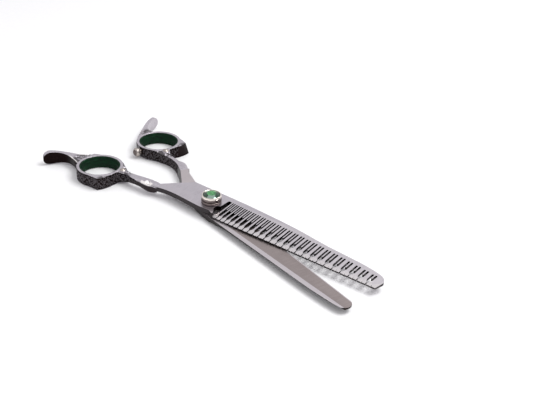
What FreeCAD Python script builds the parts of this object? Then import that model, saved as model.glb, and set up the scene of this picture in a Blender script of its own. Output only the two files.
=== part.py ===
"""Thinning shears with swept finger rests, a jewelled tension dial and soft ring inserts.

The shears lie flat and part open.  Z is up and the pivot axis is the Z axis, so the origin is
the centre of the pivot bolt's head, where it rests on the table.  +X runs from the pivot along
the tooth edge towards the tips.  Two halves cross at the pivot: the toothed half is the upper
layer and the plain half is the lower layer.  All lengths are millimetres.
"""
import math
import os

import FreeCAD
import Part

os.makedirs("parts", exist_ok=True)
V = FreeCAD.Vector
UP = V(0, 0, 1)

# ---------------------------------------------------------------- driving dimensions
BLADE_T = 2.4            # thickness of each blade
LAYER_GAP = 0.06         # air between the two blade layers
HEAD_T = 0.9             # pivot bolt head, which stands the blades off the table
PLAIN_Z = HEAD_T                              # underside of the plain blade
TOOTHED_Z = PLAIN_Z + BLADE_T + LAYER_GAP     # underside of the toothed blade
TOP_Z = TOOTHED_Z + BLADE_T                   # top face of the toothed blade

EDGE_Y = -8.58           # straight line of the tooth tips
GAPS = 25                # forked gaps between the teeth, after the heel gap
FIRST_GAP_X = 9.67       # first forked gap
PITCH_START = 2.33       # pitch at the heel
PITCH_GROWTH = 0.089     # how much each pitch gains on the last
GAP_Y = -6.73            # height on the teeth at which the gap places are given
LEAN_HEEL = 0.3          # degrees that the gaps lean back at the heel
LEAN_TIP = -3.2          # and at the tip
FACE_Y = 5.7             # the toothed blade's outer face slopes from this line to the tips
FACE_SLOPE = 6.6         # degrees

PLAIN_ANGLE = -17.5      # direction of the plain cutting edge, shears part open
PLAIN_EDGE = 6.8         # distance of the plain cutting edge from the pivot axis
PLAIN_REACH = 96.3       # reach of the plain blade from the pivot
TAPER_FROM = 12.0        # the plain blade's underside rises from here to its tip
TAPER_RISE = 1.45
TAIL_TOP = 5.5           # the plain blade's tail ramps up to this height at the knuckle
RAMP_A = 43.4            # the ramp's foot, in the thumb handle's drawing, clear of the toothed heel
TAIL_LEAN = 10.5         # degrees that the tail's inner wall leans back
TAIL_TURN = 15.5         # direction of that wall's foot, in the same drawing

RING_BORE = 10.1         # radius of the metal ring's bore
RING_OUT = 11.6          # radius of the metal ring's outside
RING_H = 6.5             # height of the rings
GROOVE_R = 10.6          # groove that holds the insert
GROOVE_H = 2.2
INSERT_IN = 9.3          # radius of the hole in the insert
FINGER_RING = (-64.35, -9.55)      # centre of the finger ring
THUMB_RING = (-61.5, 30.3)         # centre of the thumb ring
TANG_LOW = 0.5           # underside of the finger rests' paddles
TANG_HIGH = 6.9          # top of the paddles, whose ends are half round
KNUCKLE_EASE = 0.4       # how far the knuckle's outer side draws in where it meets the blade
TENON_L = 6.0            # tongue of each blade, brazed into its knuckle
STUD_R = 1.55            # head of the scroll boss where the ring meets the shank
STUD_PEG_R = 1.0         # and its peg
STUD_Z = 6.25            # seat of its head
STUD_DEPTH = 1.6         # depth of its peg
LIP = 0.25               # how far the insert's ends stay inside the ring

BOLT_R = 2.0             # pivot bolt shank
RUN = 0.05               # radial clearance of every running fit
KEY = 4.6                # square neck of the bolt, across the flats
BUSH_R = 3.0             # outside of the bush in the toothed blade
DIAL_R = 4.85            # outside of the tension dial
DIAL_TOP = 8.75          # top of the dial's metal body
BEZEL_TOP = 9.7          # top of the polished bezel
GEM_TOP = 10.2           # table of the stone
DIAL_FOOT = TOP_Z + 0.12     # underside of the dial's skirt
CUP_FLOOR = 8.45         # floor of the cup that holds the foil and the stone
CUP_R = 4.3              # radius of that cup
FOIL_T = 0.1             # thickness of the foil
GIRDLE_Z = 9.28          # girdle of the stone

BUMPER_TURN = 79.0       # where the bumper leaves the thumb ring, in the handle's drawing
BUMPER_Z = RING_H / 2    # height of its axis
BUMPER_FOOT = RING_OUT - 0.15    # its shoulder, on a flat milled in the ring
BUMPER_STEM_R = 0.7      # screwed stem
BUMPER_STEM_L = 0.8


# ---------------------------------------------------------------- geometry helpers
def prism(wire, z0, z1):
    """A flat closed wire, drawn at z = 0, raised between two heights."""
    solid = Part.Face(wire).extrude(UP * (z1 - z0))
    solid.translate(UP * z0)
    return solid


def polygon(points):
    """A closed wire through straight corners."""
    pts = [V(x, y, 0) for x, y in points]
    return Part.makePolygon(pts + [pts[0]])


def curve(points):
    """One smooth edge through a run of points."""
    spline = Part.BSplineCurve()
    spline.interpolate([V(x, y, 0) for x, y in points])
    return spline.toShape()


def line(p, q):
    return Part.LineSegment(V(p[0], p[1], 0), V(q[0], q[1], 0)).toShape()


def outline(runs):
    """A closed wire from runs of points.

    A run of two points is straight and a longer run is smooth.  Each run starts where the
    last one ended, and the last one closes on the first.
    """
    edges = []
    for i, run in enumerate(runs):
        pts = list(run) + [runs[(i + 1) % len(runs)][0]]
        edges.append(line(*pts) if len(pts) == 2 else curve(pts))
    return Part.Wire(Part.__sortEdges__(edges))


def disc(radius, z0, z1, x=0.0, y=0.0):
    return Part.makeCylinder(radius, z1 - z0, V(x, y, z0))


def turned(profile, x=0.0, y=0.0):
    """A body of revolution about a vertical axis, from (radius, height) corners."""
    pts = [V(r, 0, z) for r, z in profile]
    solid = Part.Face(Part.makePolygon(pts + [pts[0]])).revolve(V(0, 0, 0), UP, 360)
    solid.translate(V(x, y, 0))
    return solid


def rotated(shape, degrees):
    out = shape.copy()
    out.rotate(V(0, 0, 0), UP, degrees)
    return out


def fused(shapes):
    return shapes[0].multiFuse(shapes[1:]).removeSplitter()


def export(name, shape):
    solids = shape.Solids
    assert solids and all(s.isValid() for s in solids), name
    shape.exportStep("parts/" + name + ".step")
    print("%-20s solids %d  volume %8.1f mm3" % (name, len(solids), shape.Volume))


# ---------------------------------------------------------------- handles
# Both handles are drawn alike.  The drawing's origin is the ring's centre, its a axis points at
# the pivot and its b axis points at the other handle, so the thumb handle comes out mirrored.
# The shank's sides run from the knuckle to the ring, and its profile is height against a.  Its
# inner wall leans: inner is the wall's foot and inner_top is its top edge.
# The finger shank stays in the upper layer and the thumb shank stays low, behind its own blade.
FINGER = {
    "ring": FINGER_RING, "mirrored": False, "knuckle_a": 35.6,
    "inner": [(35.6, 1.7), (30.6, 2.3), (25.0, 2.4), (19.5, 2.4), (13.6, 4.3), (6.8, 9.4)],
    "inner_top": [(35.6, 1.5), (30.6, 2.1), (25.0, 2.2), (19.5, 2.2), (13.6, 4.2), (6.8, 9.3)],
    "outer": [(10.2, -2.6), (13.0, -0.9), (17.2, -0.7), (22.2, -2.2), (25.6, -2.5), (28.2, -3.1),
              (31.2, -3.3), (33.6, -2.8)],
    "low": [(3.0, 0.0), (10.0, 0.0), (15.0, 1.3), (20.0, 2.75), (28.0, 2.8), (35.6, 2.95)],
    "high": [(35.6, 5.86), (30.5, 6.15), (20.0, 6.15), (12.0, 6.45), (3.0, 6.5)],
    "tang_inner": [(-6.4, 9.7), (-13.6, 7.3), (-19.6, 4.6), (-25.3, 1.7), (-29.3, -1.1), (-31.7, -4.5)],
    "tang_outer": [(-30.4, -6.8), (-28.5, -3.5), (-25.6, -0.6), (-21.4, 0.6), (-17.0, -0.4),
                   (-13.8, -2.0), (-10.9, -4.0)],
    "tenon_b": (-2.1, 0.6), "tenon_z": TOOTHED_Z, "stud": (12.4, 2.2),
    "flare": 0.0, "ring_ease": 0.0,
}
THUMB = {
    "ring": THUMB_RING, "mirrored": True, "knuckle_a": 33.5,
    "inner": [(33.5, 2.2), (30.6, 1.6), (27.4, 1.1), (22.5, 0.8), (17.9, 1.4), (13.7, 3.5), (9.9, 5.8),
              (5.5, 9.4)],
    "inner_top": [(33.5, 1.2), (30.6, 0.8), (27.4, 0.4), (22.5, 0.7), (17.6, 2.5), (13.7, 4.7),
                  (9.9, 6.8), (6.8, 9.3)],
    "outer": [(10.2, -2.6), (14.0, -1.0), (18.5, -0.7), (22.0, -1.4), (24.2, -3.2), (26.6, -4.4),
              (30.6, -3.9)],
    "low": [(3.0, 0.0), (10.0, 0.0), (20.0, 0.2), (28.0, 0.4), (33.5, 0.7)],
    "high": [(33.5, TAIL_TOP), (28.0, 5.6), (20.0, 5.8), (12.0, 6.35), (3.0, 6.5)],
    "tang_inner": [(-7.0, 9.3), (-11.6, 6.9), (-16.3, 3.9), (-20.9, 0.5), (-25.2, -3.6), (-27.5, -6.6),
                   (-29.0, -9.6)],
    "tang_outer": [(-27.8, -10.4), (-26.3, -7.4), (-23.9, -4.7), (-20.0, -1.4), (-16.4, -0.8),
                   (-13.2, -2.0), (-10.9, -4.0)],
    "tenon_b": (-1.8, 0.2), "tenon_z": PLAIN_Z, "stud": (12.0, 0.6),
    "flare": 1.9, "ring_ease": 0.7,
}


def to_pivot(centre):
    return math.degrees(math.atan2(-centre[1], -centre[0]))


def place_handle(shape, plan):
    """Carry a shape from a handle's drawing to its place."""
    out = shape.mirror(V(0, 0, 0), V(0, 1, 0)) if plan["mirrored"] else shape.copy()
    out.rotate(V(0, 0, 0), UP, to_pivot(plan["ring"]))
    out.translate(V(plan["ring"][0], plan["ring"][1], 0))
    return out


def place_point(a, b, plan):
    """The same for one point of the drawing."""
    cx, cy = plan["ring"]
    x, y = rotate_xy((a, -b if plan["mirrored"] else b), to_pivot(plan["ring"]))
    return (cx + x, cy + y)


def knuckle_corners(plan):
    """Inner and outer corners where the knuckle meets the blade."""
    a = plan["knuckle_a"]
    outer = plan["outer"][-1][1] + KNUCKLE_EASE
    return place_point(a, plan["inner"][0][1], plan), place_point(a, outer, plan)


def side_profile(*runs):
    """A sheet that bounds heights along a, thick enough to cover the whole drawing."""
    face = Part.Face(outline(runs))
    face.rotate(V(0, 0, 0), V(1, 0, 0), 90)
    face.translate(V(0, 40, 0))
    return face.extrude(V(0, -80, 0))


def shank(plan):
    """The arm between the ring and the knuckle, lofted from its foot to its top edge."""
    end = [(plan["knuckle_a"], plan["outer"][-1][1] + KNUCKLE_EASE)]
    foot, top = (outline([plan[side], [(4.0, 4.0)], [(4.0, -2.6)], plan["outer"], end])
                 for side in ("inner", "inner_top"))
    top.translate(UP * RING_H)
    return Part.makeLoft([foot, top], True, True).common(side_profile(plan["low"], plan["high"]))


def ring_corner(plan):
    """The pointed corner that carries the ring's outer wall round into the shank."""
    wires = []
    for flare in (plan["flare"], 0.0):
        front = [(1.2, -11.55)]
        back = [(7.6, -12.3 - flare), (9.4, -9.6 - 0.6 * flare), (10.6, -5.9), (10.9, -2.0)]
        wires.append(outline([front, back, [(6.0, 2.0)], [(0.0, -6.0)]]))
    wires[1].translate(UP * RING_H)
    return Part.makeLoft(wires, True, True)


def tang(plan):
    """The swept finger rest: a curved strip whose height flares to a rounded paddle."""
    base = outline([plan["tang_inner"], plan["tang_outer"], [(-6.0, -2.0)], [(-4.0, 7.0)]])
    end = plan["tang_inner"][-1][0] - 1
    low = [(end, TANG_LOW), (end + 5.5, TANG_LOW), (-20.0, 1.3), (-15.6, 1.4)]
    high = [(-10.0, RING_H), (-15.6, 5.6), (-20.0, 5.9), (end + 5.5, TANG_HIGH), (end, TANG_HIGH)]
    profile = side_profile(low, [(-10.5, 0.0)], [(-3.0, 0.0)], [(-3.0, RING_H)], high)
    return prism(base, -1, TANG_HIGH + 1).common(profile).cut(round_end(plan))


def round_end(plan):
    """What is ground off the end of a paddle to round it."""
    (x1, y1), (x0, y0) = plan["tang_outer"][:2]
    radius = (TANG_HIGH - TANG_LOW) / 2
    nose = Part.makeCylinder(radius, 20, V(0, -10, 0), V(0, 1, 0))
    waste = Part.makeBox(10, 20, 20, V(0, -10, -10)).cut(nose)
    waste.translate(V(-radius, 0, TANG_LOW + radius))
    waste.rotate(V(0, 0, 0), UP, math.degrees(math.atan2(y1 - y0, x1 - x0)))
    waste.translate(V(x1, y1, 0))
    return waste


def handle(plan):
    ease = plan["ring_ease"]
    ring = turned([(0, 0), (RING_OUT - ease, 0), (RING_OUT, 1.5 * ease + 0.01), (RING_OUT, RING_H), (0, RING_H)])
    body = fused([ring, ring_corner(plan), shank(plan), tang(plan)])
    body = body.cut(disc(RING_BORE, -1, RING_H + 1))
    mid = RING_H / 2
    body = body.cut(disc(GROOVE_R, mid - GROOVE_H / 2, mid + GROOVE_H / 2))
    body = body.cut(tenon(plan, 1.0)).cut(stud_hole(plan))
    return place_handle(body, plan)


def tenon(plan, beyond=0.0):
    """The tongue of the blade that is brazed into the knuckle, in the handle's drawing."""
    b0, b1 = plan["tenon_b"]
    length = TENON_L + beyond
    return Part.makeBox(length, b1 - b0, BLADE_T, V(plan["knuckle_a"] - TENON_L, b0, plan["tenon_z"]))


def stud_hole(plan):
    peg = disc(STUD_PEG_R, STUD_Z - STUD_DEPTH, RING_H + 1, *plan["stud"])
    return peg.fuse(disc(STUD_R, STUD_Z, RING_H + 1, *plan["stud"]))


def shank_stud(plan):
    """A domed rivet head on a short peg."""
    z = STUD_Z
    profile = [
        (0, z - STUD_DEPTH), (STUD_PEG_R, z - STUD_DEPTH), (STUD_PEG_R, z), (STUD_R, z),
        (STUD_R, z + 0.25), (1.2, z + 0.6), (0.6, z + 0.8), (0, z + 0.85),
    ]
    return place_handle(turned(profile, *plan["stud"]), plan)


def ring_insert():
    """A soft liner with a rib that snaps into the ring's groove and a rolled top lip."""
    rib = GROOVE_H / 2
    mid = RING_H / 2
    profile = [
        (INSERT_IN, LIP + 0.35), (INSERT_IN + 0.3, LIP), (RING_BORE, LIP),
        (RING_BORE, mid - rib), (GROOVE_R, mid - rib), (GROOVE_R, mid + rib), (RING_BORE, mid + rib),
        (RING_BORE, RING_H - LIP), (INSERT_IN + 0.3, RING_H - LIP), (INSERT_IN, RING_H - LIP - 0.35),
    ]
    return turned(profile)


# ---------------------------------------------------------------- toothed blade
SPINE = [(-17.85, 9.55), (-0.65, 9.15), (13.75, 8.65), (28.65, 7.65), (46.5, 5.9), (63.9, 3.5),
         (91.1, 0.3)]
TIP = [(93.6, -0.6), (95.3, -2.2), (95.9, -3.9)]
TIP_HEEL = (94.7, EDGE_Y)
HEEL = [(4.3, -7.0), (-4.35, -6.95), (-14.35, -5.95), (-21.35, -5.65)]


def gap_x(i):
    """Place of gap i: the pitch grows steadily towards the tip."""
    return FIRST_GAP_X + PITCH_START * i + PITCH_GROWTH * i * (i - 1) / 2


def root_y(x):
    """Line of the gap roots, which is where the plain edge lies when the shears are shut."""
    return 5.95 - 0.035 * x - 0.00052 * x * x


def prong_y(x):
    """Where the short prong inside each fork ends."""
    return max(-4.1, 0.3 - 0.073 * x)


def fork_gap(i):
    """One gap between two teeth: a slit at the tips, a pocket, then a two-pronged fork."""
    t = i / (GAPS - 1)
    x = gap_x(i)
    lean = math.tan(math.radians(LEAN_HEEL + (LEAN_TIP - LEAN_HEEL) * t))
    slit = 0.26
    pocket = 0.88 + 0.42 * t
    slot = 0.68 + 0.27 * t
    prong = pocket - slot
    throat = -6.2 - 0.5 * t
    top = root_y(x)
    split = prong_y(x)
    right = [(slit, EDGE_Y - 1), (slit, throat - 0.5), (pocket * 0.72, throat + 0.35),
             (pocket, throat + 1.2), (pocket, top - 0.25), (pocket - 0.2, top),
             (prong + 0.2, top), (prong, top - 0.25), (prong, split + 0.3), (prong * 0.4, split)]
    left = [(-dx, y) for dx, y in reversed(right)]
    return polygon([(x + dx - lean * (y - GAP_Y), y) for dx, y in right + left])


def heel_gap():
    """The wider curved relief between the heel and the first tooth."""
    top = root_y(7.0)
    return outline([
        [(7.25, EDGE_Y - 1)], [(7.25, -6.4)], [(8.1, -5.2)], [(8.1, top - 0.4)], [(7.7, top)],
        [(6.4, top)], [(6.05, top - 0.4)], [(6.2, -0.6), (4.7, -3.7), (5.9, -5.8), (6.7, -6.9)],
        [(6.7, EDGE_Y - 1)],
    ])


def sloped_face():
    """What is ground off the outer face, from the line of the roots down to the tips."""
    start = 6.9          # inside the heel gap
    low = EDGE_Y - 2
    drop = math.tan(math.radians(FACE_SLOPE)) * (FACE_Y - low)
    pts = [V(start, FACE_Y, TOP_Z), V(start, low, TOP_Z - drop), V(start, low, TOP_Z)]
    return Part.Face(Part.makePolygon(pts + [pts[0]])).extrude(V(100, 0, 0))


def toothed_blade():
    inner, outer = knuckle_corners(FINGER)
    base = outline([
        SPINE + TIP[:2], [TIP[2]], [TIP_HEEL], [(8.0, EDGE_Y)], [(6.6, -8.2)], HEEL, [outer], [inner],
        [(-22.35, 4.95)],
    ])
    blade = prism(base, TOOTHED_Z, TOP_Z)
    blade = blade.cut(sloped_face())
    gaps = [prism(fork_gap(i), TOOTHED_Z - 1, TOP_Z + 1) for i in range(GAPS)]
    gaps.append(prism(heel_gap(), TOOTHED_Z - 1, TOP_Z + 1))
    blade = blade.cut(Part.makeCompound(gaps))
    blade = blade.cut(disc(BUSH_R, TOOTHED_Z - 1, TOP_Z + 1))
    return fused([blade, place_handle(tenon(FINGER), FINGER)])


# ---------------------------------------------------------------- plain blade
def plain_blade():
    """The lower blade, drawn with its cutting edge along X and turned to its place."""
    inner, outer = (rotate_xy(p, -PLAIN_ANGLE) for p in knuckle_corners(THUMB))
    base = outline([
        [outer, (-32.2, 7.3), (-28.4, 6.7), (-23.3, 6.1), (-14.0, 6.4), (-4.0, 7.2),
         (7.0, PLAIN_EDGE + 0.35)],
        [(12.0, PLAIN_EDGE)], [(93.9, PLAIN_EDGE)],
        [(95.4, 5.9), (PLAIN_REACH, 3.4)], [(94.9, 0.3)],
        [(91.6, -0.5), (76.0, -2.3), (58.3, -3.5), (38.9, -4.7), (22.4, -5.6), (8.0, -6.5),
         (-4.0, -6.3), (-13.0, -4.5), (-22.0, -2.7)],
        [inner],
    ])
    blade = prism(base, PLAIN_Z, PLAIN_Z + BLADE_T)
    blade = rotated(blade.cut(edge_bevel()).cut(underside_taper()), PLAIN_ANGLE)
    blade = blade.cut(square_neck(KEY + 2 * RUN, PLAIN_Z - 1, PLAIN_Z + BLADE_T + 1))
    blade = blade.cut(disc(5.3, PLAIN_Z + BLADE_T - 0.32, PLAIN_Z + BLADE_T + 1))
    return fused([blade, raised_tail(base), place_handle(tenon(THUMB), THUMB)]).cut(tail_lean())


def raised_tail(base):
    """Outside the sweep of the toothed heel the tail ramps up to meet the knuckle."""
    tail = rotated(prism(base, PLAIN_Z, TAIL_TOP), PLAIN_ANGLE)
    ahead = Part.makeBox(160, 160, 20, V(-10, -80, -5))
    foot_z = PLAIN_Z + BLADE_T
    knuckle = THUMB["knuckle_a"]
    above = side_profile([(knuckle, TAIL_TOP)], [(RAMP_A, foot_z)], [(200.0, foot_z)], [(200.0, 20.0)],
                         [(knuckle, 20.0)])
    return tail.cut(ahead).cut(place_handle(above, THUMB))


def tail_lean():
    """What the tail's inner wall leaves out, so that it leans back like the shank's."""
    waste = Part.makeBox(17.7, 10, 20, V(-4, 0, -2))
    waste.rotate(V(0, 0, 0), V(1, 0, 0), TAIL_LEAN)
    waste.rotate(V(0, 0, 0), UP, TAIL_TURN)
    waste.translate(V(THUMB["knuckle_a"], THUMB["inner"][0][1], PLAIN_Z))
    return place_handle(waste, THUMB)


def underside_taper():
    """The blade thins towards its tip."""
    end = TAPER_FROM + 100
    slope = TAPER_RISE / (PLAIN_REACH - TAPER_FROM)
    pts = [V(TAPER_FROM, -20, PLAIN_Z), V(end, -20, PLAIN_Z), V(end, -20, PLAIN_Z + 100 * slope)]
    return Part.Face(Part.makePolygon(pts + [pts[0]])).extrude(V(0, 40, 0))


def edge_bevel():
    """The convex edge's ground facet, on the underside along the cutting edge."""
    width, rise = 3.2, 2.15
    pts = [V(11.0, PLAIN_EDGE - width, PLAIN_Z), V(11.0, PLAIN_EDGE + 1, PLAIN_Z),
           V(11.0, PLAIN_EDGE + 1, PLAIN_Z + rise * (width + 1) / width)]
    return Part.Face(Part.makePolygon(pts + [pts[0]])).extrude(V(100, 0, 0))


def rotate_xy(p, degrees):
    c, s = math.cos(math.radians(degrees)), math.sin(math.radians(degrees))
    return (p[0] * c - p[1] * s, p[0] * s + p[1] * c)


def square_neck(across, z0, z1):
    half = across / 2
    return Part.makeBox(across, across, z1 - z0, V(-half, -half, z0))


# ---------------------------------------------------------------- pivot and dial
def pivot_bolt():
    """Low head, square neck keyed into the plain blade and a round shank into the dial."""
    head = turned([(0, 0), (4.1, 0), (4.6, 0.4), (4.6, HEAD_T), (0, HEAD_T)])
    neck = square_neck(KEY, HEAD_T, PLAIN_Z + BLADE_T - 0.4)
    shank_rod = disc(BOLT_R, PLAIN_Z + BLADE_T - 0.4, 8.2)
    return fused([head, neck, shank_rod])


def annulus(r_in, r_out, z0, z1):
    return disc(r_out, z0, z1).cut(disc(r_in, z0 - 1, z1 + 1))


def blade_washer():
    """Slick ring that keeps the blades from rubbing, sunk in the plain blade."""
    z1 = PLAIN_Z + BLADE_T + 0.02
    return annulus(BOLT_R + 0.45, 5.25, z1 - 0.34, z1)


def pivot_bush():
    return annulus(BOLT_R + RUN, BUSH_R, TOOTHED_Z, TOP_Z)


def dial_washer():
    return annulus(BOLT_R + 0.35, 4.2, TOP_Z, TOP_Z + 0.25)


def detent_spring():
    """Dished spring that presses the dial away from the blade."""
    z = TOP_Z + 0.27
    return turned([(2.1, z + 0.25), (3.95, z), (3.95, z + 0.22), (2.1, z + 0.47)])


def tension_dial():
    """Knurled cup that screws down on the bolt, grooved round its side."""
    hub = BOLT_R + RUN
    roof = 6.58          # inside of the skirt, above the spring
    profile = [
        (hub, roof), (4.3, roof), (4.3, DIAL_FOOT), (4.55, DIAL_FOOT), (DIAL_R, DIAL_FOOT + 0.3),
        (DIAL_R, 7.1), (4.62, 7.25), (4.62, 7.55), (DIAL_R, 7.7), (DIAL_R, DIAL_TOP),
        (CUP_R, DIAL_TOP), (CUP_R, CUP_FLOOR), (0, CUP_FLOOR), (0, CUP_FLOOR - 0.15),
        (hub, CUP_FLOOR - 0.15),
    ]
    return turned(profile)


def gem_foil():
    return disc(CUP_R - 0.1, CUP_FLOOR, CUP_FLOOR + FOIL_T)


def dial_bezel():
    """Polished rim, rolled over the girdle of the stone."""
    profile = [
        (CUP_R, DIAL_TOP), (4.78, DIAL_TOP), (4.78, 9.4), (4.6, BEZEL_TOP), (4.25, BEZEL_TOP),
        (4.05, 9.5), (CUP_R, GIRDLE_Z + 0.02),
    ]
    return turned(profile)


def gem():
    """Round stone with a low crown: twelve crown facets over a conical pavilion."""
    seat = CUP_FLOOR + FOIL_T
    girdle = CUP_R - 0.04
    pavilion = turned([(0, seat), (3.3, seat), (girdle, 9.1), (girdle, GIRDLE_Z), (0, GIRDLE_Z)])
    crown = crown_facets(12)
    return fused([pavilion, crown])


def crown_facets(count):
    girdle, table = 3.95, 2.3
    angles = [2 * math.pi * k / count for k in range(count)]
    lower = [V(girdle * math.cos(a), girdle * math.sin(a), GIRDLE_Z) for a in angles]
    upper = [V(table * math.cos(a), table * math.sin(a), GEM_TOP) for a in angles]
    wires = [Part.makePolygon(ring + [ring[0]]) for ring in (lower, upper)]
    return Part.makeLoft(wires, True, True)


# ---------------------------------------------------------------- bumper
def bumper_frame(shape):
    """Lay a turned shape, whose axis is +Z, out along the bumper's axis."""
    out = shape.copy()
    out.rotate(V(0, 0, 0), V(0, 1, 0), 90)
    out.translate(V(0, 0, BUMPER_Z))
    out.rotate(V(0, 0, 0), UP, BUMPER_TURN)
    return place_handle(out, THUMB)


def bumper_holder():
    """Turned steel cup on a screwed stem, with a dark waist against the ring."""
    foot = BUMPER_FOOT
    profile = [
        (0, foot - BUMPER_STEM_L), (BUMPER_STEM_R, foot - BUMPER_STEM_L), (BUMPER_STEM_R, foot),
        (1.75, foot), (1.75, foot + 0.9),
        (2.25, foot + 1.1), (2.35, foot + 1.6), (2.15, foot + 1.85), (2.35, foot + 2.1),
        (2.2, foot + 2.7), (1.75, foot + 2.9), (1.6, foot + 2.9), (1.6, foot + 1.9), (0, foot + 1.9),
    ]
    return bumper_frame(turned(profile))


def bumper_pad():
    """Domed silencer pad that meets the finger ring when the shears shut."""
    foot = BUMPER_FOOT
    profile = [
        (0, foot + 1.9), (1.6, foot + 1.9), (1.6, foot + 2.95), (1.3, foot + 3.35),
        (0.7, foot + 3.65), (0, foot + 3.75),
    ]
    return bumper_frame(turned(profile))


def bumper_seat():
    """Screw hole and flat for the bumper in the thumb ring's wall."""
    hole = disc(BUMPER_STEM_R, BUMPER_FOOT - BUMPER_STEM_L, BUMPER_FOOT)
    flat = disc(1.9, BUMPER_FOOT, BUMPER_FOOT + 2)
    return bumper_frame(fused([hole, flat]))


# ---------------------------------------------------------------- make and write the parts
parts = {
    "toothed_blade": toothed_blade(),
    "plain_blade": plain_blade(),
    "finger_handle": handle(FINGER),
    "thumb_handle": handle(THUMB).cut(bumper_seat()),
    "finger_ring_insert": place_handle(ring_insert(), FINGER),
    "thumb_ring_insert": place_handle(ring_insert(), THUMB),
    "finger_shank_stud": shank_stud(FINGER),
    "thumb_shank_stud": shank_stud(THUMB),
    "bumper_holder": bumper_holder(),
    "bumper_pad": bumper_pad(),
    "pivot_bolt": pivot_bolt(),
    "blade_washer": blade_washer(),
    "pivot_bush": pivot_bush(),
    "dial_washer": dial_washer(),
    "detent_spring": detent_spring(),
    "tension_dial": tension_dial(),
    "gem_foil": gem_foil(),
    "dial_bezel": dial_bezel(),
    "gem": gem(),
}
for part_name, part_shape in parts.items():
    export(part_name, part_shape)
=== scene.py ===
"""The looks of the thinning shears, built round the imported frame.

Work on a mesh is done in millimetres and brought to metres when the piece is placed.  Each handle is
worked in its own drawing: the origin is the ring's centre, a points at the pivot and b points at the
other handle.
"""
import math
import random

import bmesh
import bpy
import numpy as np
from mathutils import Matrix, Vector
from mathutils.bvhtree import BVHTree
from mathutils.kdtree import KDTree


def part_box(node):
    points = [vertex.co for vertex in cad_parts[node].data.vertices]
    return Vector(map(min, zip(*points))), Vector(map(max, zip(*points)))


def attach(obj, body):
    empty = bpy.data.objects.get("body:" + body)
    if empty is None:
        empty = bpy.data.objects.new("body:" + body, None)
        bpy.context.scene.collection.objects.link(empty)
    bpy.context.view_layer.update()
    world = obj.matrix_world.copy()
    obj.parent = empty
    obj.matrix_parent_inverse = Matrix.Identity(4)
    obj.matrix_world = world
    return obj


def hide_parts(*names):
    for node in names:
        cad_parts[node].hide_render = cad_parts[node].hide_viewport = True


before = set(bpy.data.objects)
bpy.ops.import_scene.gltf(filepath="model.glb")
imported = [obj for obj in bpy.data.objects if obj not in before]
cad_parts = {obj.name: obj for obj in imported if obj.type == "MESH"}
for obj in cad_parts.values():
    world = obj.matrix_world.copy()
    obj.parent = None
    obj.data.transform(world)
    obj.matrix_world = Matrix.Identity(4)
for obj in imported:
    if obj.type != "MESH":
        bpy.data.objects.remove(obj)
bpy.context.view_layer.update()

MM = 0.001

# ---------------------------------------------------------------- sizes, in millimetres
VOXEL = 0.17             # grid that the handles are carved on
RING_HEIGHT = 6.5        # height of the rings, and of the walls that the scroll is drawn for
RING_SIDE = (10.9, 11.2)     # the engraving starts between these distances from a ring's centre
OUTLINE_STEP = 0.1       # spacing of the points that follow a handle's outline
CARVE_DEPTH = 0.42       # depth of the scroll engraving on the walls
TOP_DEPTH = 0.26         # and on the top faces
BAY = 3.1                # length of wall that one curl of the scroll fills
SHOULDER_REACH = 1.9     # how far in from the wall a knuckle's shoulder is rounded
SHOULDER_DROP = 1.5      # how far it falls at the wall
WALL_Z = 4.0             # height at which the handles' outlines are followed
EDGE_TURN = -17.5        # direction of the plain cutting edge, degrees
HOLLOW_DEPTH = 0.16      # depth of the plain blade's hollow grind
HOLLOW_FROM = 15.0       # it starts this far from the pivot
HOLLOW_RUN = 7.0         # and reaches its full depth over this length
HOLLOW_STRIPS = 9        # strips that its curve is built from
EDGE_LAND = 0.45         # flat left along the plain cutting edge
SPINE_BAND = 2.3         # flat left along the plain blade's spine
SPINE_FIT = (30.0, 80.0)     # the flat runs parallel to the spine between these distances
SPINE_UNDERCUT = 1.5     # how far the spine's underside is ground back
FACE_Y = 5.7             # the toothed blade's face slopes from this line to the tips
TOOTH_GROOVE = 1.3       # length of the V groove in each tooth's head
GROOVE_DEPTH = 0.26      # and its depth at the tooth's end
STUD_DOME = 0.62         # fall of a scroll stud's head from its middle to its rim
BUMPER_FOOT = 11.45      # seat of the bumper, from the thumb ring's centre
FACETS = 12              # flats on the dial's bezel
FINGER_REACH = 35.4      # the toothed blade shows from here on, in the finger handle's drawing
THUMB_REACH = 33.3       # and the plain blade from here, in the thumb handle's
# sockets of the blades' tongues in each handle's drawing: a, b and height, each from and to
FINGER_SOCKET = ((29.5, 35.55), (-2.2, 0.7), (3.3, 5.8))
THUMB_SOCKET = ((27.4, 33.45), (-1.9, 0.3), (0.85, 3.35))


# ---------------------------------------------------------------- small helpers
def fade(x, start, end):
    """0 before start and 1 after end, smooth between them; start may be the larger."""
    t = np.clip((x - start) / (end - start), 0.0, 1.0)
    return t * t * (3 - 2 * t)


def linear(hex_colour):
    """Linear RGBA of an sRGB hex colour."""
    channels = [int(hex_colour[i:i + 2], 16) / 255 for i in (1, 3, 5)]
    return [c / 12.92 if c <= 0.04045 else ((c + 0.055) / 1.055) ** 2.4 for c in channels] + [1.0]


def centre_of(node):
    low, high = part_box(node)
    return (low + high) / 2 / MM


def add_node(tree, kind, settings):
    """Add a shader node.  Each setting is a property, or an input's value, hex colour or source."""
    node = tree.nodes.new(kind)
    for key, value in settings.items():
        if not (isinstance(key, int) or key in node.inputs):
            setattr(node, key, value)
        elif isinstance(value, bpy.types.NodeSocket):
            tree.links.new(value, node.inputs[key])
        elif isinstance(value, str):
            node.inputs[key].default_value = linear(value)
        else:
            node.inputs[key].default_value = value
    return node


def new_material(name):
    material = bpy.data.materials.new(name)
    material.use_nodes = True
    material.node_tree.nodes.clear()
    return material, material.node_tree


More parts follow.
